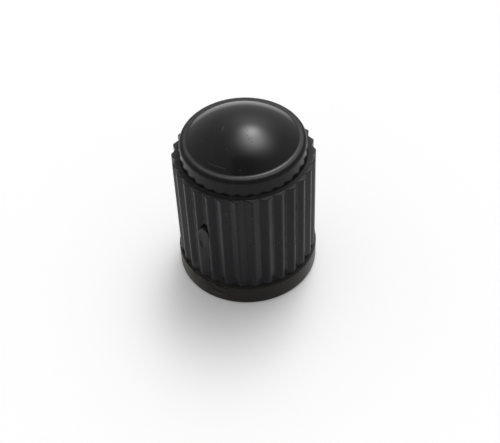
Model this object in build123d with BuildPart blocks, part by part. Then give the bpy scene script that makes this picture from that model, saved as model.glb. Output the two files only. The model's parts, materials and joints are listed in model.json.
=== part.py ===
from build123d import *
import os
from math import pi

# Tyre valve cap, moulded as one piece. It stands on its open mouth: the mouth's centre is the
# origin, the axis is +Z, and -Y is the front. Lengths are in millimetres, angles in degrees.

# Thread inside, for the common tyre valve. The bore is as wide as the thread's ridges leave it.
thread_root_radius = 3.9
thread_height = 0.43

# Grip: straight ribs round the barrel
barrel_wall = 0.78          # from the thread's root to the valleys between the ribs
barrel_length = 8.52        # from the foot ring up to the shoulder
rib_count = 30
rib_depth = 0.24
rib_crest_width = 0.13
rib_crest_rounding = 0.15
rib_valley_rounding = 0.09
rib_turn = -91.3            # direction of one valley, from +X

# Smooth ring round the mouth
foot_height = 1.55
foot_ledge = 0.08           # how far the ring stands out past the ribs
foot_rounding = 0.15
foot_edge_chamfer = 0.05    # at the ring's upper edge

# Smooth collar above the ribs, closed by a dome
shoulder_width = 0.52       # flat step from the tops of the ribs in to the collar
collar_height = 1.35
collar_taper = 0.08         # radius lost from the collar's foot to its rim
rim_rounding = 0.33
rim_width = 0.18            # flat ring round the dome
dome_rise = 1.3
dome_root_rounding = 0.45

# Inside
roof_wall = 1.15
mouth_clearance = 0.2       # room between the valve's thread and the plain mouth
mouth_depth = 1.0
mouth_chamfer = 0.1

# Mark of the moulding gate: an oval pit with the gate's stub in it, which leaves a crescent gap
gate_turn = 232.0           # direction of the mark, from +X
gate_height = 6.07
gate_length = 2.16
gate_width = 1.04
gate_roll = -10.0           # upper end to the right
gate_depth = 0.45           # from the tops of the ribs
stub_length = 2.04
stub_width = 0.92
stub_roll = 6.0             # upper end to the left
stub_drop = 0.33            # from the middle of the pit down to the stub's
stub_sink = 0.09            # below the tops of the ribs
stub_tilt = 4.0             # how far its face sinks towards the lower end
stub_lean = 8.0             # and towards the right

# Radii that follow, from the thread outwards and from the ribs in to the dome
bore_radius = thread_root_radius - thread_height
mouth_radius = thread_root_radius + mouth_clearance
valley_radius = thread_root_radius + barrel_wall
crest_radius = valley_radius + rib_depth
foot_radius = crest_radius + foot_ledge
collar_radius = crest_radius - shoulder_width
rim_radius = collar_radius - collar_taper
dome_radius = rim_radius - rim_rounding - rim_width

# Heights that follow
shoulder_z = foot_height + barrel_length
rim_z = shoulder_z + collar_height
crown_z = rim_z + dome_rise
lead_in_z = mouth_depth + mouth_radius - bore_radius
bore_end_z = rim_z - roof_wall
ceiling_z = crown_z - roof_wall

# Half the gap between two ribs, at their tops
half_gap = pi * crest_radius / rib_count - rib_crest_width / 2

with BuildPart() as valve_cap:
    # Foot ring, core, collar and dome
    with BuildSketch(Plane.XZ) as outside:
        with BuildLine():
            Polyline(
                (0, crown_z),
                (0, 0),
                (foot_radius, 0),
                (foot_radius, foot_height),
                (collar_radius, foot_height),
                (collar_radius, shoulder_z),
                (rim_radius, rim_z),
                (dome_radius, rim_z),
            )
            TangentArc((0, crown_z), (dome_radius, rim_z), tangent=(1, 0))
        make_face()
        fillet(outside.vertices().sort_by_distance((foot_radius, 0))[0], foot_rounding)
        chamfer(outside.vertices().sort_by_distance((foot_radius, foot_height))[0], foot_edge_chamfer)
        fillet(outside.vertices().sort_by_distance((rim_radius, rim_z))[0], rim_rounding)
        fillet(outside.vertices().sort_by_distance((dome_radius, rim_z))[0], dome_root_rounding)
    revolve(axis=Axis.Z)

    # Ribs: a disc notched all round, drawn from the foot ring up to the shoulder
    with BuildSketch(Plane.XY.offset(foot_height).rotated((0, 0, rib_turn))) as ribs:
        Circle(crest_radius)
        with PolarLocations(valley_radius, rib_count):
            Polygon(
                (0, 0),
                (2 * rib_depth, 2 * half_gap),
                (2 * rib_depth, -2 * half_gap),
                align=None,
                mode=Mode.SUBTRACT,
            )
        fillet(ribs.vertices().group_by(SortBy.DISTANCE)[-1], rib_crest_rounding)
        fillet(ribs.vertices().group_by(SortBy.DISTANCE)[0], rib_valley_rounding)
    extrude(amount=barrel_length)

    # Plain mouth, lead-in, thread bore and domed end
    with BuildSketch(Plane.XZ) as inside:
        with BuildLine():
            Polyline(
                (0, ceiling_z),
                (0, 0),
                (mouth_radius + mouth_chamfer, 0),
                (mouth_radius, mouth_chamfer),
                (mouth_radius, mouth_depth),
                (bore_radius, lead_in_z),
                (bore_radius, bore_end_z),
            )
            TangentArc((0, ceiling_z), (bore_radius, bore_end_z), tangent=(1, 0))
        make_face()
    revolve(axis=Axis.Z, mode=Mode.SUBTRACT)

    # Gate mark
    gate_place = Pos(0, 0, gate_height) * Rot(0, 0, gate_turn) * Plane.YZ.offset(crest_radius).location
    with BuildSketch(Plane(gate_place * Pos(0, 0, -gate_depth))):
        Ellipse(gate_width / 2, gate_length / 2, rotation=gate_roll)
    extrude(amount=2 * gate_depth, mode=Mode.SUBTRACT)
    stub_place = Pos(0, -stub_drop, -stub_sink) * Rot(stub_tilt, stub_lean, 0)
    with BuildSketch(Plane(gate_place * stub_place)):
        Ellipse(stub_width / 2, stub_length / 2, rotation=stub_roll)
    extrude(amount=-gate_depth)

valve_cap.part.label = "valve_cap"

os.makedirs("parts", exist_ok=True)
export_step(valve_cap.part, "parts/valve_cap.step")
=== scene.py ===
import json
import math
import bmesh
import bpy
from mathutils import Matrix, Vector


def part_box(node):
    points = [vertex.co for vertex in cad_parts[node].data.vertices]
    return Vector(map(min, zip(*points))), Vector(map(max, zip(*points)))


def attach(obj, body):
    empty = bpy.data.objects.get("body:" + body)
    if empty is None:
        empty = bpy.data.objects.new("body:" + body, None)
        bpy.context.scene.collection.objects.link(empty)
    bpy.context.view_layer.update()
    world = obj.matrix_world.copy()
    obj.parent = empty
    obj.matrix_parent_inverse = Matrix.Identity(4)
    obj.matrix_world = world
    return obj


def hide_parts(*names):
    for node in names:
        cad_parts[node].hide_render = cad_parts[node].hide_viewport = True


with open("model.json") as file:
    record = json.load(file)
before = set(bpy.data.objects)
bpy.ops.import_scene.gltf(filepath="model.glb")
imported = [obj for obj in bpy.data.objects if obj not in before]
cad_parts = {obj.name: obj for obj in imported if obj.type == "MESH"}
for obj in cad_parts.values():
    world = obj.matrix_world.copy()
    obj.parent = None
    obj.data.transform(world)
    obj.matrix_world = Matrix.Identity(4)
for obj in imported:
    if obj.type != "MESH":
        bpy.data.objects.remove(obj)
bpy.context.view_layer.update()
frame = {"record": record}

# the cap is shaped in millimetres and brought to metres when it is done
millimetre = 0.001
mergeReach = 0.001           # points closer than this become one
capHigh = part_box("valve_cap")[1]
footRadius = capHigh.x / millimetre
crown = capHigh.z / millimetre
boreRadius = frame["record"]["mounts"][0]["dims"]["r_mm"]


# small helpers for selecting and for shaping ring by ring

def polar(radius, degrees, height):
    angle = math.radians(degrees)
    return Vector((radius * math.cos(angle), radius * math.sin(angle), height))


def clearSelection():
    bpy.ops.object.select_all(action="DESELECT")


def startFromPoint(name, place):
    # a plane merged to one vertex, ready to be extruded into an outline
    clearSelection()
    bpy.ops.mesh.primitive_plane_add(size=1)
    piece = bpy.context.object
    piece.name = name
    piece.data.name = name
    bpy.ops.object.mode_set(mode="EDIT")
    bpy.ops.mesh.merge(type="CENTER")
    bpy.ops.transform.translate(value=place)
    return piece


def drawOutline(points):
    # extrudes the selected vertex from point to point
    for here, there in zip(points, points[1:]):
        step = Vector(there) - Vector(here)
        bpy.ops.mesh.extrude_vertices_move(TRANSFORM_OT_translate={"value": step})


def pickVerts(piece, test):
    mesh = bmesh.from_edit_mesh(piece.data)
    bpy.ops.mesh.select_all(action="DESELECT")
    mesh.select_mode = {"VERT"}
    for vert in mesh.verts:
        vert.select_set(test(vert.co))
    mesh.select_flush_mode()
    bmesh.update_edit_mesh(piece.data)


def pickNear(piece, points, reach=0.01):
    pickVerts(piece, lambda co: any((co - Vector(p)).length < reach for p in points))


def arcPoints(centre, radius, fromAngle, toAngle, steps):
    # (radius, height) points of an arc in the section, without its first point
    points = []
    for step in range(1, steps + 1):
        angle = math.radians(fromAngle + (toAngle - fromAngle) * step / steps)
        points.append((centre[0] + radius * math.cos(angle), centre[1] + radius * math.sin(angle)))
    return points


def growRings(start, section):
    # extrudes the selected ring along a section of (radius, height) points
    radius, height = start
    for newRadius, newHeight in section:
        bpy.ops.mesh.extrude_region_move(
            TRANSFORM_OT_translate={"value": (0, 0, newHeight - height)})
        grow = newRadius / radius
        bpy.ops.transform.resize(value=(grow, grow, 1), center_override=(0, 0, newHeight))
        radius, height = newRadius, newHeight


def innerRadius():
    # of the selected ring
    mesh = bmesh.from_edit_mesh(bpy.context.object.data)
    return min(v.co.xy.length for v in mesh.verts if v.select)


def makeRound(height, radius, share=1, drop=0):
    # extrudes the ribbed ring and draws it towards a circle, with its valleys at a radius
    bpy.ops.mesh.extrude_region_move(TRANSFORM_OT_translate={"value": (0, 0, -drop)})
    bpy.ops.transform.tosphere(value=share, center_override=(0, 0, height))
    grow = radius / innerRadius()
    bpy.ops.transform.resize(value=(grow, grow, 1), center_override=(0, 0, height))


def closeTip(piece, height):
    # closes the selected ring with a point on the axis
    bpy.ops.mesh.extrude_region_move(TRANSFORM_OT_translate={"value": (0, 0, 0)})
    bpy.ops.mesh.merge(type="CENTER")
    tip = [v.co.copy() for v in bmesh.from_edit_mesh(piece.data).verts if v.select][0]
    bpy.ops.transform.translate(value=Vector((0, 0, height)) - tip)


def applyModifier(piece, modifier):
    clearSelection()
    piece.select_set(True)
    bpy.context.view_layer.objects.active = piece
    bpy.ops.object.modifier_apply(modifier=modifier.name)


def combine(piece, other, operation):
    # the other piece is used up, and its finish stays on the faces that it leaves
    blend = piece.modifiers.new("blend", "BOOLEAN")
    blend.operation = operation
    blend.solver = "MANIFOLD"
    blend.material_mode = "TRANSFER"
    blend.object = other
    applyModifier(piece, blend)
    bpy.data.objects.remove(other)


# helpers for node trees: each adds a node, feeds it and gives its output

noiseSpan = (0.3, 0.7)       # where nearly all of a noise texture's values lie
mixSockets = {"FLOAT": (2, 3, 0), "RGBA": (6, 7, 2)}    # first, second and result


def feed(tree, socket, value):
    # a link from another node, or a plain value
    if isinstance(value, bpy.types.NodeSocket):
        tree.links.new(value, socket)
    else:
        socket.default_value = value


def addNode(tree, kind, *values, **settings):
    node = tree.nodes.new(kind)
    for name, setting in settings.items():
        setattr(node, name, setting)
    for socket, value in zip(node.inputs, values):
        feed(tree, socket, value)
    return node


def setInputs(tree, node, **values):
    for name, value in values.items():
        feed(tree, node.inputs[name.replace("_", " ")], value)


def addMath(tree, operation, *values, **settings):
    return addNode(tree, "ShaderNodeMath", *values, operation=operation, **settings).outputs[0]


def addVectorMath(tree, operation, *values):
    node = addNode(tree, "ShaderNodeVectorMath", *values, operation=operation)
    givesNumber = operation in ("LENGTH", "DISTANCE", "DOT_PRODUCT")
    return node.outputs["Value" if givesNumber else "Vector"]


def addRange(tree, value, fromMin, fromMax, toMin=0.0, toMax=1.0, curve="SMOOTHSTEP"):
    node = addNode(tree, "ShaderNodeMapRange", value, fromMin, fromMax, toMin, toMax,
                   interpolation_type=curve)
    return node.outputs["Result"]


def addNoise(tree, place, scale, detail, roughness=0.5):
    node = addNode(tree, "ShaderNodeTexNoise")
    setInputs(tree, node, Vector=place, Scale=scale, Detail=detail, Roughness=roughness)
    return node.outputs["Fac"]


def addMix(tree, kind, share, first, second):
    node = addNode(tree, "ShaderNodeMix", share, data_type=kind)
    firstSocket, secondSocket, result = mixSockets[kind]
    feed(tree, node.inputs[firstSocket], first)
    feed(tree, node.inputs[secondSocket], second)
    return node.outputs[result]


# marks and grain, as groups shared by the finishes

def startGroup(name, ins, outs):
    # a group with its sockets, and the surface's own place in millimetres
    group = bpy.data.node_groups.new(name, "ShaderNodeTree")
    for socketName, kind in ins.items():
        group.interface.new_socket(socketName, in_out="INPUT", socket_type="NodeSocket" + kind)
    for socketName in outs:
        group.interface.new_socket(socketName, in_out="OUTPUT", socket_type="NodeSocketFloat")
    inNode = addNode(group, "NodeGroupInput")
    outNode = addNode(group, "NodeGroupOutput")
    place = addNode(group, "ShaderNodeTexCoord").outputs["Object"]
    return group, inNode, outNode, addVectorMath(group, "MULTIPLY", place, [1 / millimetre] * 3)


def makeGrainGroup():
    # broad cloudiness, fine grain and round specks
    speckEdge = (0.1, 0.04)
    group, ins, outs, place = startGroup(
        "mouldGrain", {"Broad Scale": "Float", "Fine Scale": "Float", "Speck Scale": "Float"},
        ("Broad", "Fine", "Specks"))
    broad = addNoise(group, place, ins.outputs["Broad Scale"], detail=4.0, roughness=0.6)
    fine = addNoise(group, place, ins.outputs["Fine Scale"], detail=3.0, roughness=0.55)
    cells = addNode(group, "ShaderNodeTexVoronoi")
    setInputs(group, cells, Vector=place, Scale=ins.outputs["Speck Scale"])
    specks = addRange(group, cells.outputs["Distance"], *speckEdge)
    setInputs(group, outs, Broad=broad, Fine=fine, Specks=specks)
    return group


def makeLineGroup():
    # mask of a thin straight mark from one place to another
    group, ins, outs, place = startGroup(
        "lineMark", {"Start": "Vector", "End": "Vector", "Width": "Float"}, ("Mask",))
    start = ins.outputs["Start"]
    fromStart = addVectorMath(group, "SUBTRACT", place, start)
    along = addVectorMath(group, "SUBTRACT", ins.outputs["End"], start)
    reach = addVectorMath(group, "DOT_PRODUCT", fromStart, along)
    square = addVectorMath(group, "DOT_PRODUCT", along, along)
    share = addMath(group, "DIVIDE", reach, square, use_clamp=True)
    nearest = addVectorMath(group, "MULTIPLY", along, share)
    away = addVectorMath(group, "DISTANCE", fromStart, nearest)
    setInputs(group, outs, Mask=addRange(group, away, ins.outputs["Width"], 0.0))
    return group


def makePatchGroup():
    # mask of a ragged patch that thins out away from a place
    group, ins, outs, place = startGroup(
        "raggedPatch", {"Centre": "Vector", "Reach": "Float", "Grain": "Vector", "Cover": "Float"},
        ("Mask",))
    away = addVectorMath(group, "DISTANCE", place, ins.outputs["Centre"])
    fade = addRange(group, away, ins.outputs["Reach"], 0.0)
    grained = addVectorMath(group, "MULTIPLY", place, ins.outputs["Grain"])
    noise = addNoise(group, grained, scale=1.0, detail=5.0, roughness=0.6)
    bare = addMath(group, "SUBTRACT", 1.0, ins.outputs["Cover"])
    ragged = addRange(group, noise, bare, noiseSpan[1])
    setInputs(group, outs, Mask=addMath(group, "MULTIPLY", fade, ragged))
    return group


def makeCornerGroup():
    # mask along a corner that runs round the cap's axis, for wear that rubs off there and for
    # painted light and painted reflection laid along it
    group, ins, outs, place = startGroup(
        "cornerWearAndPaintedLight", {"Radius": "Float", "Height": "Float", "Width": "Float"}, ("Mask",))
    fromAxis = addVectorMath(group, "LENGTH", addVectorMath(group, "MULTIPLY", place, (1, 1, 0)))
    height = addNode(group, "ShaderNodeSeparateXYZ", place).outputs["Z"]
    aside = addMath(group, "SUBTRACT", fromAxis, ins.outputs["Radius"])
    above = addMath(group, "SUBTRACT", height, ins.outputs["Height"])
    section = addNode(group, "ShaderNodeCombineXYZ", aside, above)
    away = addVectorMath(group, "LENGTH", section.outputs[0])
    fade = addRange(group, away, ins.outputs["Width"], 0.0)
    noise = addNoise(group, place, scale=2.5, detail=4.0)
    uneven = addRange(group, noise, *noiseSpan, toMin=0.6, curve="LINEAR")
    setInputs(group, outs, Mask=addMath(group, "MULTIPLY", fade, uneven))
    return group


grainGroup = makeGrainGroup()
markGroups = {"lines": makeLineGroup(), "patches": makePatchGroup(), "corners": makeCornerGroup()}


# marks that the photo shows, and painted light, as places on the cap in millimetres

dustLook = {"tone": (0.05, 0.047, 0.044), "roughness": 0.5}

domeScratches = {
    "kind": "lines", "tone": (0.09, 0.09, 0.092), "roughness": 0.4, "amount": 0.45,
    "marks": [
        {"Start": (-1.232, -0.183, 12.59), "End": (-1.321, -0.554, 12.547), "Width": 0.06},
        {"Start": (-1.03, -1.95, 12.302), "End": (-1.194, -2.095, 12.216), "Width": 0.03},
        {"Start": (-2.356, -2.57, 11.654), "End": (-1.859, -2.936, 11.661), "Width": 0.04},
        {"Start": (-1.859, -2.936, 11.661), "End": (-1.273, -3.215, 11.673), "Width": 0.04},
        {"Start": (-0.283, -3.452, 11.669), "End": (-0.25, -3.452, 11.669), "Width": 0.07},
    ],
}

domeSpecks = {
    "kind": "lines", "tone": (0.06, 0.06, 0.062), "roughness": 0.3, "amount": 0.3,
    "marks": [
        {"Start": (x, y, z), "End": (x + 0.04, y, z), "Width": 0.07}
        for x, y, z in ((-2.69, -0.9, 12.04), (-2.11, -1.95, 12.02), (-1.1, -2.08, 12.26))
    ],
}

domePits = {
    "kind": "lines", "tone": (0.002, 0.002, 0.002), "roughness": 0.5, "amount": 0.8,
    "marks": [
        {"Start": (x, y, z), "End": (x + 0.01, y, z), "Width": 0.07}
        for x, y, z in ((0.317, -0.732, 12.667), (0.209, -0.482, 12.697), (0.299, -1.165, 12.599),
                        (0.377, -1.47, 12.526), (0.551, -1.632, 12.468), (0.55, -1.391, 12.531))
    ],
}

footDirt = {
    "kind": "patches", "tone": (0.09, 0.07, 0.045), "roughness": 0.5, "amount": 0.9,
    "marks": [
        {"Centre": (-4.5, -2.2, 0.5), "Reach": 3.0, "Grain": (1.3, 1.3, 4.0), "Cover": 0.85},
        {"Centre": (-2.1, -4.5, 1.0), "Reach": 1.8, "Grain": (1.3, 1.3, 4.0), "Cover": 0.5},
    ],
}

ribSmudge = {
    "kind": "patches", "tone": (0.085, 0.066, 0.045), "roughness": 0.5, "amount": 0.8,
    "marks": [
        {"Centre": (-3.88, -2.65, 2.05), "Reach": 0.75, "Grain": (1.3, 1.3, 4.0), "Cover": 0.75},
    ],
}

ribDirt = {
    "kind": "patches", "tone": (0.03, 0.0268, 0.0255), "roughness": 0.6, "amount": 0.9,
    "marks": [
        {"Centre": (-3.35, -3.5, 1.5), "Reach": 1.8, "Grain": (1.5, 1.5, 3.0), "Cover": 0.85},
    ],
}

ledgeDirt = {
    "kind": "patches", "tone": (0.1, 0.09, 0.084), "roughness": 0.6, "amount": 0.9,
    "marks": [
        {"Centre": (-3.4, -3.6, 1.55), "Reach": 2.6, "Grain": (1.3, 1.3, 4.0), "Cover": 0.85},
    ],
}

dirtShade = {
    "kind": "patches", "tone": (0.006, 0.005, 0.0045), "roughness": 0.6, "amount": 0.85,
    "marks": [
        {"Centre": (-3.2, -3.85, 1.35), "Reach": 1.7, "Grain": (2.2, 2.2, 5.0), "Cover": 0.62},
    ],
}

dirtStreaks = {
    "kind": "lines", "tone": (0.004, 0.003, 0.0025), "roughness": 0.7, "amount": 0.95,
    "height": -0.02,
    "marks": [
        {"Start": (-4.02, -2.97, 1.6), "End": (-3.84, -3.2, 1.25), "Width": 0.14},
        {"Start": (-3.31, -3.75, 1.62), "End": (-2.96, -4.03, 1.56), "Width": 0.13},
        {"Start": (-3.1, -3.92, 1.3), "End": (-2.6, -4.27, 1.18), "Width": 0.12},
        {"Start": (-2.58, -4.28, 1.03), "End": (-2.05, -4.56, 0.84), "Width": 0.12},
        {"Start": (-2.37, -4.4, 1.5), "End": (-1.57, -4.75, 1.39), "Width": 0.13},
        {"Start": (-4.45, -2.05, 1.6), "End": (-4.2, -2.6, 1.6), "Width": 0.16},
    ],
}

# painted light: a lighter, rougher band along the ledge at the rib ends, lifting the shade that
# falls in that corner
ledgePaintedFill = {
    "kind": "corners", "tone": (0.065, 0.062, 0.059), "roughness": 0.6, "amount": 0.9,
    "marks": [{"Radius": 4.7, "Height": 1.55, "Width": 0.4}],
}

# painted light: the valley feet above the ledge made lighter and rougher, softening the shade in
# that corner
valleyPaintedFill = {
    "kind": "corners", "tone": (0.036, 0.034, 0.0325), "roughness": 0.8, "amount": 0.95,
    "marks": [{"Radius": 4.64, "Height": 1.6, "Width": 0.6}],
}

# painted light: a lighter band where the collar meets the shoulder, lifting the shade in that
# corner
shoulderPaintedFill = {
    "kind": "corners", "tone": (0.045, 0.045, 0.0465), "roughness": 0.6, "amount": 0.9,
    "marks": [{"Radius": 4.42, "Height": 10.07, "Width": 0.22}],
}

# a paler streak down the valley below the gate mark
paleBelowGate = {
    "kind": "lines", "tone": (0.05, 0.0488, 0.0485), "roughness": 0.5, "amount": 0.8,
    "marks": [{"Start": (-3.06, -3.57, 4.4), "End": (-3.2, -3.43, 2.3), "Width": 0.6}],
}

stubMottle = {
    "kind": "patches", "tone": (0.012, 0.012, 0.0125), "roughness": 0.45, "amount": 0.85,
    "height": -0.015,
    "marks": [
        {"Centre": (-2.974, -3.806, 5.74), "Reach": 2.2, "Grain": (4.5, 4.5, 3.0), "Cover": 0.6},
    ],
}

flashPoints = [polar(4.69, turn, 10.07) for turn in (-94, -84, -74, -64, -54)]

shoulderFlash = {
    "kind": "lines", "tone": (0.13, 0.13, 0.133), "roughness": 0.4, "amount": 0.8,
    "marks": [
        {"Start": here, "End": there, "Width": 0.06}
        for here, there in zip(flashPoints, flashPoints[1:])
    ],
}

# painted reflection: a lighter, rougher band on the flat ring round the dome, standing in for the
# even light the ring mirrors
ringPaintedSheen = {
    "kind": "corners", "tone": (0.054, 0.054, 0.0555), "roughness": 0.45, "amount": 0.95,
    "marks": [{"Radius": 3.96, "Height": 11.42, "Width": 0.23}],
}

ribTopWear = {
    "kind": "corners", "tone": (0.062, 0.062, 0.064), "roughness": 0.5, "amount": 0.95,
    "marks": [{"Radius": 4.83, "Height": 10.07, "Width": 0.34}],
}

ribScuffs = {
    "kind": "patches", "tone": (0.045, 0.044, 0.044), "roughness": 0.5, "amount": 0.6,
    "marks": [
        {"Centre": (-1.39, -4.62, 8.75), "Reach": 0.4, "Grain": (4.0, 4.0, 2.0), "Cover": 0.5},
        {"Centre": (1.9, -4.44, 10.05), "Reach": 0.7, "Grain": (9.0, 9.0, 9.0), "Cover": 0.6},
    ],
}


# one look for each kind of surface, all of the same black plastic

plasticIor = 1.4

finishes = {
    "ribbedBlack": {
        "dark": (0.0055, 0.0055, 0.0075), "light": (0.0105, 0.0105, 0.0135),
        "roughness": (0.2, 0.28), "bump": 0.0015, "specular": 0.23, "dust": 0.03,
        "grain": {"Broad_Scale": 0.5, "Fine_Scale": 7.0, "Speck_Scale": 2.2},
        "layers": [ribScuffs, paleBelowGate, valleyPaintedFill, ribDirt, ribSmudge, dirtStreaks],
    },
    # the ledge's tone is far lighter than the plastic: partly dust, partly painted light lifting
    # the shade between the rib ends
    "ledgeBlack": {
        "dark": (0.032, 0.0305, 0.029), "light": (0.058, 0.0555, 0.053),
        "roughness": (0.45, 0.6), "bump": 0.004, "specular": 0.3, "dust": 0.2,
        "grain": {"Broad_Scale": 1.5, "Fine_Scale": 7.0, "Speck_Scale": 3.0},
        "layers": [ledgePaintedFill, ledgeDirt, dirtStreaks],
    },
    "shoulderBlack": {
        "dark": (0.0085, 0.0086, 0.0095), "light": (0.016, 0.0162, 0.0175),
        "roughness": (0.45, 0.6), "bump": 0.004, "specular": 0.18, "dust": 0.2,
        "grain": {"Broad_Scale": 1.5, "Fine_Scale": 7.0, "Speck_Scale": 3.0},
        "layers": [ribTopWear, ribScuffs, shoulderPaintedFill, shoulderFlash],
    },
    # the foot's tone is lighter and warmer than the plastic: partly the brownish dirt on it,
    # partly painted light standing in for the lit floor it mirrors
    "footBlack": {
        "dark": (0.0185, 0.0164, 0.0152), "light": (0.029, 0.026, 0.024),
        "roughness": (0.26, 0.36), "bump": 0.003, "specular": 0.19, "dust": 0.2,
        "grain": {"Broad_Scale": 0.8, "Fine_Scale": 6.0, "Speck_Scale": 2.2},
        "layers": [footDirt, dirtShade, dirtStreaks],
    },
    "collarBlack": {
        "dark": (0.004, 0.004, 0.0043), "light": (0.007, 0.007, 0.0074),
        "roughness": (0.14, 0.2), "bump": 0.001, "specular": 0.25, "dust": 0.2,
        "grain": {"Broad_Scale": 0.35, "Fine_Scale": 4.0, "Speck_Scale": 1.4},
        "layers": [shoulderPaintedFill],
    },
    "domeBlack": {
        "dark": (0.0048, 0.0048, 0.0057), "light": (0.008, 0.008, 0.0093),
        "roughness": (0.09, 0.13), "bump": 0.0006, "specular": 0.5, "dust": 0.2,
        "grain": {"Broad_Scale": 0.35, "Fine_Scale": 4.0, "Speck_Scale": 1.4},
        "layers": [{**ringPaintedSheen, "roughness": 0.24}, domeScratches, domeSpecks, domePits],
    },
    # the rim's lighter tone is part of the painted reflection on the ring
    "rimBlack": {
        "dark": (0.0115, 0.0115, 0.012), "light": (0.016, 0.016, 0.0167),
        "roughness": (0.22, 0.3), "bump": 0.001, "specular": 0.18, "dust": 0.2,
        "grain": {"Broad_Scale": 0.35, "Fine_Scale": 4.0, "Speck_Scale": 1.4},
        "layers": [ringPaintedSheen],
    },
    "gateBlack": {
        "dark": (0.015, 0.015, 0.0153), "light": (0.093, 0.093, 0.0952),
        "roughness": (0.4, 0.55), "bump": 0.02, "specular": 0.15, "dust": 0.2,
        "grain": {"Broad_Scale": 1.6, "Fine_Scale": 4.0, "Speck_Scale": 4.0},
        "layers": [stubMottle],
    },
    "boreBlack": {
        "dark": (0.004, 0.004, 0.0042), "light": (0.008, 0.008, 0.0082),
        "roughness": (0.3, 0.42), "bump": 0.002, "specular": 0.4, "dust": 0.2,
        "grain": {"Broad_Scale": 0.6, "Fine_Scale": 6.0, "Speck_Scale": 2.0},
        "layers": [],
    },
}


def layerMask(tree, layer):
    # the strongest of a layer's marks
    masks = []
    for mark in layer["marks"]:
        node = addNode(tree, "ShaderNodeGroup", node_tree=markGroups[layer["kind"]])
        setInputs(tree, node, **mark)
        masks.append(node.outputs["Mask"])
    strongest = masks[0]
    for mask in masks[1:]:
        strongest = addMath(tree, "MAXIMUM", strongest, mask)
    return strongest


def addLayer(tree, surface, mask, layer):
    # lays a tone and a gloss, and in some layers a height, over the surface where the mask is
    share = addMath(tree, "MULTIPLY", mask, layer["amount"])
    height = surface["height"]
    if "height" in layer:
        height = addMath(tree, "MULTIPLY_ADD", share, layer["height"], height)
    return {
        "tone": addMix(tree, "RGBA", share, surface["tone"], (*layer["tone"], 1)),
        "gloss": addMix(tree, "FLOAT", share, surface["gloss"], layer["roughness"]),
        "height": height,
    }


def makePlastic(name, look):
    plastic = bpy.data.materials.new(name)
    plastic.use_nodes = True
    tree = plastic.node_tree
    grain = addNode(tree, "ShaderNodeGroup", node_tree=grainGroup)
    setInputs(tree, grain, **look["grain"])
    broad = grain.outputs["Broad"]
    surface = {
        "tone": addMix(tree, "RGBA", broad, (*look["dark"], 1), (*look["light"], 1)),
        "gloss": addRange(tree, broad, *noiseSpan, *look["roughness"], curve="LINEAR"),
        "height": addMath(tree, "MULTIPLY", grain.outputs["Fine"], look["bump"]),
    }
    dust = {**dustLook, "amount": look["dust"]}
    surface = addLayer(tree, surface, grain.outputs["Specks"], dust)
    for layer in look["layers"]:
        surface = addLayer(tree, surface, layerMask(tree, layer), layer)
    bump = addNode(tree, "ShaderNodeBump")
    setInputs(tree, bump, Strength=1.0, Distance=millimetre, Height=surface["height"])
    setInputs(tree, tree.nodes["Principled BSDF"], Base_Color=surface["tone"],
              Roughness=surface["gloss"], Normal=bump.outputs["Normal"],
              IOR=plasticIor, Specular_IOR_Level=look["specular"])
    return plastic


plastics = {name: makePlastic(name, look) for name, look in finishes.items()}
print("finishes made:", ", ".join(plastics))


# the moulded cap: one rib is drawn, copied round, and its ring grown into the whole skin

capShape = {
    "ribCount": 30,
    "ribTurn": -91.3,        # direction of one valley, degrees from +X
    "crestRadius": 4.92,
    "valleyRadius": 4.68,
    "crestWidth": 0.13,
    "crestRounding": 0.035,  # length taken off each side of the corner
    "valleyRounding": 0.04,
    "runOutHeight": 0.3,     # above the ledge, where the ribs start to run out
    "runOutShare": 0.5,      # of the way to a circle, where they meet the ledge
    "footHeight": 1.55,
    "footEdge": 0.06,        # rounding of the ledge
    "footRounding": 0.15,
    "shoulder": 10.07,
    "ribTopRounding": 0.04,
    "collarRadius": 4.4,
    "collarFoot": 0.06,
    "rimHeight": 11.42,
    "rimRadius": 4.32,
    "rimRounding": 0.33,
    "rimBand": 0.1,          # how far the rim's finish reaches in past its rounding
    "domeRadius": 3.81,
    "domeRoot": 0.45,
    "mouthRadius": 4.1,
    "mouthChamfer": 0.1,
    "mouthDepth": 1.0,
    "roof": 1.15,
    "flat": 0.99,            # upward part of the normal on a face that counts as flat
    "sharpAngle": 32,        # edges turned by more degrees than this stay sharp
    "steps": {               # edges along each rounding and along the ribs' flanks
        "flank": 4, "crest": 3, "valley": 4, "ribTop": 3, "collarFoot": 4, "rim": 7,
        "domeRoot": 8, "dome": 28, "footEdge": 4, "foot": 6, "roof": 10,
    },
}


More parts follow.
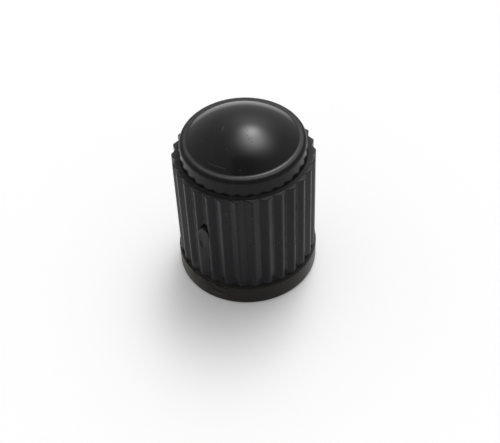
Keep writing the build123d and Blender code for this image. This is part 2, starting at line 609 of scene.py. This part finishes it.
def drawRibs(shape):
    # one rib's worth of outline, from the middle of one crest to the next, copied round
    steps = shape["steps"]
    pitch = 360 / shape["ribCount"]
    crest = shape["crestRadius"]
    turn = shape["ribTurn"]
    nextCrest = turn + pitch / 2
    lastCrest = turn - pitch / 2
    halfCrest = math.degrees(shape["crestWidth"] / 2 / crest)
    height = shape["footHeight"] + shape["runOutHeight"]
    outline = [
        polar(crest, lastCrest, height),
        polar(crest, lastCrest + halfCrest, height),
        polar(shape["valleyRadius"], turn, height),
        polar(crest, nextCrest - halfCrest, height),
        polar(crest, nextCrest, height),
    ]
    cap = startFromPoint("capSkin", outline[0])
    drawOutline(outline)
    pickNear(cap, outline[1:4])
    bpy.ops.mesh.subdivide(number_cuts=steps["flank"] - 1)
    pickNear(cap, [outline[1], outline[3]])
    bpy.ops.mesh.bevel(offset=shape["crestRounding"], segments=steps["crest"], affect="VERTICES")
    pickNear(cap, [outline[2]])
    bpy.ops.mesh.bevel(offset=shape["valleyRounding"], segments=steps["valley"], affect="VERTICES")
    bpy.ops.mesh.select_all(action="SELECT")
    copies = shape["ribCount"] - 1
    bpy.ops.mesh.spin(steps=copies, dupli=True, angle=math.radians(pitch * copies),
                      center=(0, 0, 0), axis=(0, 0, 1), use_auto_merge=False)
    bpy.ops.mesh.select_all(action="SELECT")
    bpy.ops.mesh.remove_doubles(threshold=mergeReach)
    print("rib outline:", len(bmesh.from_edit_mesh(cap.data).verts), "points round the cap")
    return cap


def domeSection(radius, foot, top, steps, root=0, rootSteps=0):
    # a spherical cap from its edge up to just short of the axis, with a hollow root
    rise = top - foot
    sphere = (radius * radius + rise * rise) / (2 * rise)
    centre = top - sphere
    edge = math.degrees(math.acos(radius / sphere))
    section = []
    if root:
        # the root's circle touches the foot plane and the sphere from outside
        rootCentre = foot + root
        reach = math.sqrt((sphere + root) ** 2 - (rootCentre - centre) ** 2)
        edge = math.degrees(math.atan2(rootCentre - centre, reach))
        section += [(reach, foot)]
        section += arcPoints((reach, rootCentre), root, 270, 180 + edge, rootSteps)
    last = 90 - (90 - edge) / steps
    return section + arcPoints((0, centre), sphere, edge, last, steps - 1)


def growOutside(cap, shape):
    # up the ribs, in over the shoulder, up the collar and over the dome
    steps = shape["steps"]
    crest = shape["crestRadius"]
    low = shape["footHeight"] + shape["runOutHeight"]
    top = shape["shoulder"]
    tip = shape["ribTopRounding"]
    # the rings near the ribs' ends keep the shading straight between them
    growRings((crest, low), [(crest, low + tip), (crest, top - 2 * tip), (crest, top - tip)])
    growRings((crest, top - tip), arcPoints((crest - tip, top - tip), tip, 0, 90, steps["ribTop"]))
    hollow = shape["collarFoot"]
    collar = shape["collarRadius"] + hollow
    makeRound(top, collar)
    rim = shape["rimRadius"]
    rimHeight = shape["rimHeight"]
    edge = shape["rimRounding"]
    section = arcPoints((collar, top + hollow), hollow, 270, 180, steps["collarFoot"])
    section += [(rim, rimHeight - edge)]
    section += arcPoints((rim - edge, rimHeight - edge), edge, 0, 90, steps["rim"])
    section += domeSection(shape["domeRadius"], rimHeight, crown, steps["dome"],
                           shape["domeRoot"], steps["domeRoot"])
    growRings((collar, top), section)
    closeTip(cap, crown)
    print("outside closed")


def growInside(cap, shape):
    # from the open ring under the ribs: down to the ledge, out over it, down the foot and in
    steps = shape["steps"]
    bpy.ops.mesh.select_all(action="DESELECT")
    bpy.ops.mesh.select_mode(type="VERT")
    bpy.ops.mesh.select_non_manifold(use_wire=False, use_boundary=True, use_multi_face=False,
                                     use_non_contiguous=False, use_verts=False)
    ledge = shape["footHeight"]
    lip = shape["footEdge"]
    makeRound(ledge, innerRadius(), shape["runOutShare"], shape["runOutHeight"])
    makeRound(ledge, footRadius - lip)
    under = shape["footRounding"]
    mouth = shape["mouthRadius"]
    bevel = shape["mouthChamfer"]
    depth = shape["mouthDepth"]
    leadIn = depth + mouth - boreRadius
    boreEnd = shape["rimHeight"] - shape["roof"]
    ceiling = crown - shape["roof"]
    section = arcPoints((footRadius - lip, ledge - lip), lip, 90, 0, steps["footEdge"])
    section += [(footRadius, under)]
    section += arcPoints((footRadius - under, under), under, 0, -90, steps["foot"])
    section += [(mouth + bevel, 0), (mouth, bevel), (mouth, depth)]
    section += [(boreRadius, leadIn), (boreRadius, boreEnd)]
    section += domeSection(boreRadius, boreEnd, ceiling, steps["roof"])
    growRings((footRadius - lip, ledge), section)
    closeTip(cap, ceiling)
    bpy.ops.mesh.select_all(action="SELECT")
    bpy.ops.mesh.normals_make_consistent(inside=False)
    bpy.ops.object.mode_set(mode="OBJECT")
    print("inside closed:", len(cap.data.polygons), "faces")


def finishOf(face, shape):
    # the finish of a face, by its place on the cap and the way it faces
    reach = face.center.xy.length
    height = face.center.z
    flat = abs(face.normal.z) > shape["flat"]
    if height > shape["rimHeight"] - shape["rimRounding"] and face.normal.z > 0:
        domeEdge = shape["rimRadius"] - shape["rimRounding"] - shape["rimBand"]
        return "rimBlack" if reach > domeEdge else "domeBlack"
    facesAxis = face.normal.dot(Vector((*face.center.xy, 0))) <= 0
    if facesAxis and reach < shape["mouthRadius"] + shape["mouthChamfer"]:
        return "boreBlack"
    if height > shape["shoulder"] and reach < shape["collarRadius"] + shape["collarFoot"]:
        return "collarBlack"
    if flat and height > shape["footHeight"] + shape["ribTopRounding"]:
        return "shoulderBlack"
    if flat and height > shape["footRounding"]:
        return "ledgeBlack"
    return "footBlack" if height < shape["footHeight"] else "ribbedBlack"


def dressCap(cap, shape):
    names = list(plastics)
    for plastic in plastics.values():
        cap.data.materials.append(plastic)
    for face in cap.data.polygons:
        face.material_index = names.index(finishOf(face, shape))


cap = drawRibs(capShape)
growOutside(cap, capShape)
growInside(cap, capShape)
dressCap(cap, capShape)


# the valve's thread, screwed as a rod and cut out of the bore

threadShape = {
    "rootRadius": 3.9,
    "pitch": 25.4 / 32,      # threads to the inch
    "crestFlat": 0.2,
    "rootFlat": 0.1,
    "cornerRounding": 0.03,
    "cornerSteps": 2,
    "clearance": 0.012,      # keeps the rod off the plain bore wall
    "start": 0.7,            # lower end, inside the plain mouth
    "end": 9.0,
    "spareTurns": 2,         # cut off at the ends
    "stepsPerTurn": 120,
}


def cutThread(cap, shape):
    pitch = shape["pitch"]
    inner = boreRadius + shape["clearance"]
    outer = shape["rootRadius"]
    halfCrest = shape["crestFlat"] / 2
    flank = (pitch - shape["crestFlat"] - shape["rootFlat"]) / 2
    low = shape["start"] - pitch
    rootLow = low + halfCrest + flank
    section = [
        (inner, low), (inner, low + halfCrest),
        (outer, rootLow), (outer, rootLow + shape["rootFlat"]),
        (inner, low + pitch - halfCrest), (inner, low + pitch),
    ]
    outline = [Vector((radius, 0, height)) for radius, height in section]
    rod = startFromPoint("threadRod", outline[0])
    drawOutline(outline)
    pickNear(rod, outline[1:-1])
    bpy.ops.mesh.bevel(offset=shape["cornerRounding"], segments=shape["cornerSteps"],
                       affect="VERTICES")
    bpy.ops.object.mode_set(mode="OBJECT")
    screw = rod.modifiers.new("screw", "SCREW")
    screw.axis = "Z"
    screw.angle = math.tau
    screw.screw_offset = pitch
    screw.iterations = math.ceil((shape["end"] - shape["start"]) / pitch) + shape["spareTurns"]
    screw.steps = shape["stepsPerTurn"]
    screw.render_steps = shape["stepsPerTurn"]
    applyModifier(rod, screw)
    bpy.ops.object.mode_set(mode="EDIT")
    bpy.ops.mesh.select_all(action="SELECT")
    bpy.ops.mesh.remove_doubles(threshold=mergeReach)
    for end, below in (("start", True), ("end", False)):
        bpy.ops.mesh.select_all(action="SELECT")
        bpy.ops.mesh.bisect(plane_co=(0, 0, shape[end]), plane_no=(0, 0, 1), use_fill=True,
                            clear_inner=below, clear_outer=not below)
    bpy.ops.mesh.select_all(action="SELECT")
    bpy.ops.mesh.normals_make_consistent(inside=False)
    bpy.ops.object.mode_set(mode="OBJECT")
    rod.data.materials.append(plastics["boreBlack"])
    combine(cap, rod, "DIFFERENCE")
    print("thread cut:", len(cap.data.polygons), "faces")


cutThread(cap, threadShape)


# the mark of the moulding gate: an oval pit with the gate's torn stub in it

gateShape = {
    "turn": 232.0,           # direction from +X, degrees
    "height": 6.07,
    "width": 0.94,
    "length": 2.16,
    "roll": -8.0,            # upper end to the right
    "aside": 0.045,          # to the right
    "depth": 0.45,           # below the rib tops
    "sides": 56,
}

stubShape = {
    "width": 0.92,
    "length": 2.04,
    "roll": 2.0,             # upper end to the left
    "aside": -0.01,          # to the left
    "drop": 0.33,            # below the middle of the pit
    "sink": 0.09,            # below the rib tops
    "root": 0.2,             # below the floor of the pit
    "tilt": 4.0,             # face sinks towards its lower end
    "lean": 8.0,             # and towards the right
    "edge": 0.05,
    "edgeSteps": 3,
    "sides": 56,
}


def makeOval(name, shape, low, high):
    # an upright oval rod about the origin, between two heights
    clearSelection()
    bpy.ops.mesh.primitive_cylinder_add(vertices=shape["sides"], radius=0.5, depth=high - low,
                                        location=(0, 0, (low + high) / 2))
    oval = bpy.context.object
    oval.name = name
    oval.scale = (shape["width"], shape["length"], 1)
    oval.rotation_euler = (0, 0, math.radians(shape["roll"]))
    bpy.ops.object.transform_apply(location=True, rotation=True, scale=True)
    oval.data.materials.append(plastics["gateBlack"])
    return oval


def placeOnGate(oval, gate, out, aside, drop=0, tilt=0, lean=0):
    # lays the rod's ground plane against the ribs at the gate, facing out
    right = gate["turn"] + 90
    oval.rotation_euler = (math.radians(90 + tilt), 0, math.radians(right + lean))
    oval.location = polar(out, gate["turn"], gate["height"] - drop) + polar(aside, right, 0)
    bpy.ops.object.transform_apply(location=True, rotation=True, scale=True)


def cutGate(cap, gate, stub):
    ribTops = capShape["crestRadius"]
    pit = makeOval("gatePit", gate, -gate["depth"], ribTops)
    placeOnGate(pit, gate, ribTops, gate["aside"])
    combine(cap, pit, "DIFFERENCE")
    torn = makeOval("gateStub", stub, -gate["depth"] - stub["root"], 0)
    bpy.ops.object.mode_set(mode="EDIT")
    pickVerts(torn, lambda co: co.z > -stub["edge"])
    bpy.ops.mesh.bevel(offset=stub["edge"], segments=stub["edgeSteps"])
    bpy.ops.object.mode_set(mode="OBJECT")
    placeOnGate(torn, gate, ribTops - stub["sink"], stub["aside"],
                stub["drop"], stub["tilt"], stub["lean"])
    combine(cap, torn, "UNION")
    print("gate mark made:", len(cap.data.polygons), "faces")


cutGate(cap, gateShape, stubShape)


# to metres, with clean shading

def finishCap(cap, shape):
    clearSelection()
    cap.select_set(True)
    bpy.context.view_layer.objects.active = cap
    cap.scale = (millimetre, millimetre, millimetre)
    bpy.ops.object.transform_apply(location=False, rotation=False, scale=True)
    bpy.ops.object.shade_smooth_by_angle(angle=math.radians(shape["sharpAngle"]))
    weights = cap.modifiers.new("weights", "WEIGHTED_NORMAL")
    weights.keep_sharp = True
    applyModifier(cap, weights)
    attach(cap, "root")
    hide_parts("valve_cap")
    print("cap finished:", len(cap.data.polygons), "faces")


finishCap(cap, capShape)


# floor, light and camera

studio = {
    "floorSize": 1.2,
    "floorWhite": 0.95,
    "floorGrey": 0.5,                      # far off
    "floorFade": (0.05, 0.2),              # where the white starts and ends to fade
    "floorRoughness": 0.9,
    "floorLift": 0.15,                     # white added for what the camera and gloss see
    "evenLight": 0.5,
    "frontLight": 0.35,
    "frontEdge": (-0.45, 0.4),             # where the dim front ends and the even light starts
    "cardLeft": (-0.28, -0.21),            # dark card in front, which the dome mirrors
    "cardRight": (0.6, 0.05),
    "cardTop": (-0.03, -0.08),
    "cardDark": 0.47,
    "lamps": (                             # direction, strength and spread in degrees
        ((0.15, 0.55, 0.82), 7.2, 8),
        ((0.2, 0.35, 0.92), 6.0, 14),
        ((0.15, 0.71, 0.68), 1.2, 17),
    ),
}

cameraView = {
    "place": (0, -0.053615, 0.059659),
    "aim": (0.000222, 0, 0.003195),
    "roll": -2.696,
    "lens": 77.37,
    "nearest": 0.001,
}


def makeFloor(studio):
    clearSelection()
    bpy.ops.mesh.primitive_plane_add(size=studio["floorSize"])
    floor = bpy.context.object
    floor.name = "floor"
    paint = bpy.data.materials.new("floorWhite")
    paint.use_nodes = True
    tree = paint.node_tree
    place = addNode(tree, "ShaderNodeTexCoord").outputs["Object"]
    white = addRange(tree, addVectorMath(tree, "LENGTH", place), *studio["floorFade"],
                     studio["floorWhite"], studio["floorGrey"])
    path = addNode(tree, "ShaderNodeLightPath")
    seen = 0.0
    for ray in ("Is Camera Ray", "Is Glossy Ray", "Is Transmission Ray"):
        seen = addMath(tree, "MAXIMUM", path.outputs[ray], seen)
    setInputs(tree, tree.nodes["Principled BSDF"], Base_Color=white,
              Roughness=studio["floorRoughness"], Specular_IOR_Level=0.0,
              Emission_Color=(1, 1, 1, 1),
              Emission_Strength=addMath(tree, "MULTIPLY", seen, studio["floorLift"]))
    floor.data.materials.append(paint)


def makeWorld(studio):
    # even light, dim on the camera's side, with soft lamps above and behind
    world = bpy.data.worlds.new("studio")
    bpy.context.scene.world = world
    world.use_nodes = True
    tree = world.node_tree
    way = addNode(tree, "ShaderNodeTexCoord").outputs["Generated"]
    parts = addNode(tree, "ShaderNodeSeparateXYZ", way)
    light = addRange(tree, parts.outputs["Y"], *studio["frontEdge"],
                     studio["frontLight"], studio["evenLight"])
    card = 1.0
    for edge, side in (("cardLeft", "X"), ("cardRight", "X"), ("cardTop", "Y")):
        inside = addRange(tree, parts.outputs[side], *studio[edge])
        card = addMath(tree, "MULTIPLY", inside, card)
    shade = addMath(tree, "MULTIPLY_ADD", card, -studio["cardDark"], 1.0)
    light = addMath(tree, "MULTIPLY", light, shade)
    for lampWay, strength, spread in studio["lamps"]:
        # a round glow that fades with the angle from the lamp
        toLamp = addVectorMath(tree, "DOT_PRODUCT", way, Vector(lampWay).normalized())
        away = addMath(tree, "SUBTRACT", toLamp, 1.0)
        narrow = addMath(tree, "MULTIPLY", away, 2 / math.radians(spread) ** 2)
        glow = addMath(tree, "EXPONENT", narrow)
        light = addMath(tree, "MULTIPLY_ADD", glow, strength, light)
    setInputs(tree, tree.nodes["Background"], Color=(1, 1, 1, 1), Strength=light)


def makeCamera(view):
    clearSelection()
    bpy.ops.object.camera_add(location=view["place"])
    camera = bpy.context.object
    look = Vector(view["aim"]) - camera.location
    camera.rotation_euler = look.to_track_quat("-Z", "Y").to_euler()
    camera.rotation_euler.rotate_axis("Z", math.radians(view["roll"]))
    camera.data.lens = view["lens"]
    camera.data.clip_start = view["nearest"]
    bpy.context.scene.camera = camera


makeFloor(studio)
makeWorld(studio)
makeCamera(cameraView)
bpy.context.scene.view_settings.view_transform = "Standard"
print("studio ready")
